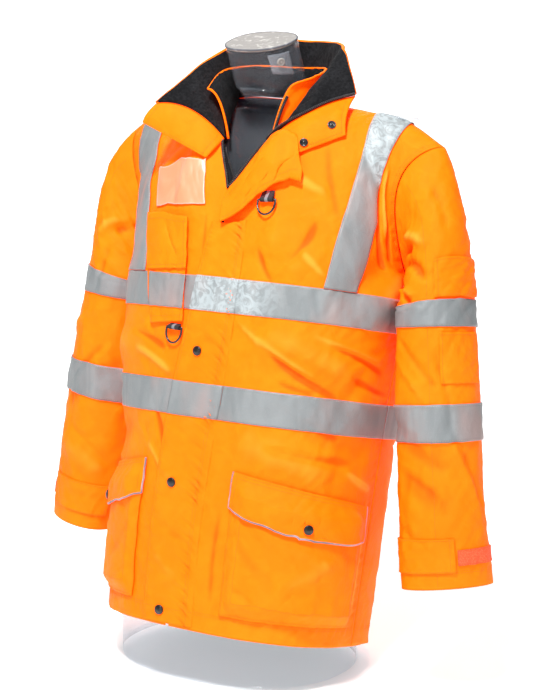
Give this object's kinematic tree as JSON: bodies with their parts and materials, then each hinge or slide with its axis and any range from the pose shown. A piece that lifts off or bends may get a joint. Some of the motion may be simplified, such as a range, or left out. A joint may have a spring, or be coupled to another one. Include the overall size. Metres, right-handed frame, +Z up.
{
  "type": "hi-vis work jacket on a clear torso form",
  "caption": "Orange hi-vis work jacket of three-quarter length with grey reflective bands, open at the neck, worn by a clear plastic torso form on a foot plate.",
  "frame": {"origin": "centre of the foot plate's underside", "axes": "+Z up, -Y to the front of the wearer, +X to the wearer's left"},
  "size_m": [0.7932, 0.4318, 0.9408],
  "materials": {
    "orange_cloth": "matt coated polyester weave",
    "reflective_tape": "retroreflective, silvery grey",
    "black_fleece": "napped fleece",
    "navy_lining": "smooth lining",
    "zip": "satin",
    "snap": "satin",
    "ring": "satin",
    "webbing": "woven",
    "hook_tape": "hook and loop tape",
    "window": "clear film over orange",
    "clear_plastic": "clear, glossy"
  },
  "bodies": {
    "jacket": {"back": "orange_cloth", "back_lining": "navy_lining", "collar_facing_right": "orange_cloth", "collar_lining": "black_fleece", "collar_outer": "orange_cloth", "collar_tab": "orange_cloth", "cuff_tab_left": "orange_cloth", "cuff_tab_right": "orange_cloth", "flap_snap_1": "snap", "flap_snap_2": "snap", "flap_snap_3": "snap", "form_foot": "clear_plastic", "form_shell": "clear_plastic", "front_left": "orange_cloth", "front_right": "orange_cloth", "hook_tape_left": "hook_tape", "hook_tape_right": "hook_tape", "id_window": "window", "inner_collar": "orange_cloth", "inner_collar_lining": "black_fleece", "lapel": "orange_cloth", "phone_pocket": "orange_cloth", "phone_pocket_flap": "orange_cloth", "pocket_flap_left": "orange_cloth", "pocket_flap_right": "orange_cloth", "pocket_left": "orange_cloth", "pocket_right": "orange_cloth", "pocket_snap_left": "snap", "pocket_snap_right": "snap", "sleeve_left": "orange_cloth", "sleeve_pocket": "orange_cloth", "sleeve_pocket_flap": "orange_cloth", "sleeve_right": "orange_cloth", "storm_flap": "orange_cloth", "tape_back_high": "reflective_tape", "tape_back_low": "reflective_tape", "tape_brace_back_left": "reflective_tape", "tape_brace_back_right": "reflective_tape", "tape_brace_front_left": "reflective_tape", "tape_brace_front_right": "reflective_tape", "tape_flap_high": "reflective_tape", "tape_flap_low": "reflective_tape", "tape_front_left_high": "reflective_tape", "tape_front_left_low": "reflective_tape", "tape_front_right_high": "reflective_tape", "tape_front_right_low": "reflective_tape", "tape_phone_pocket": "reflective_tape", "tape_sleeve_left_high": "reflective_tape", "tape_sleeve_left_low": "reflective_tape", "tape_sleeve_right_high": "reflective_tape", "tape_sleeve_right_low": "reflective_tape", "webbing_left": "webbing", "webbing_right": "webbing", "zip_inner_left": "zip", "zip_inner_right": "zip", "zip_outer_left": "zip", "zip_outer_right": "zip", "zip_slider": "zip"},
    "ring_left": {"d_ring_left": "ring"},
    "ring_right": {"d_ring_right": "ring"}
  },
  "joints": [
    {"name": "ring_left_swing", "type": "hinge", "parent": "jacket", "child": "ring_left", "pos_m": [0.07847, -0.05706, 0.70674], "axis": [-0.9907, -0.1271, -0.0483], "range_deg": [0, 90]},
    {"name": "ring_right_swing", "type": "hinge", "parent": "jacket", "child": "ring_right", "pos_m": [-0.05119, -0.10814, 0.51648], "axis": [-0.9988, 0.0417, 0.0242], "range_deg": [0, 150]}
  ]
}
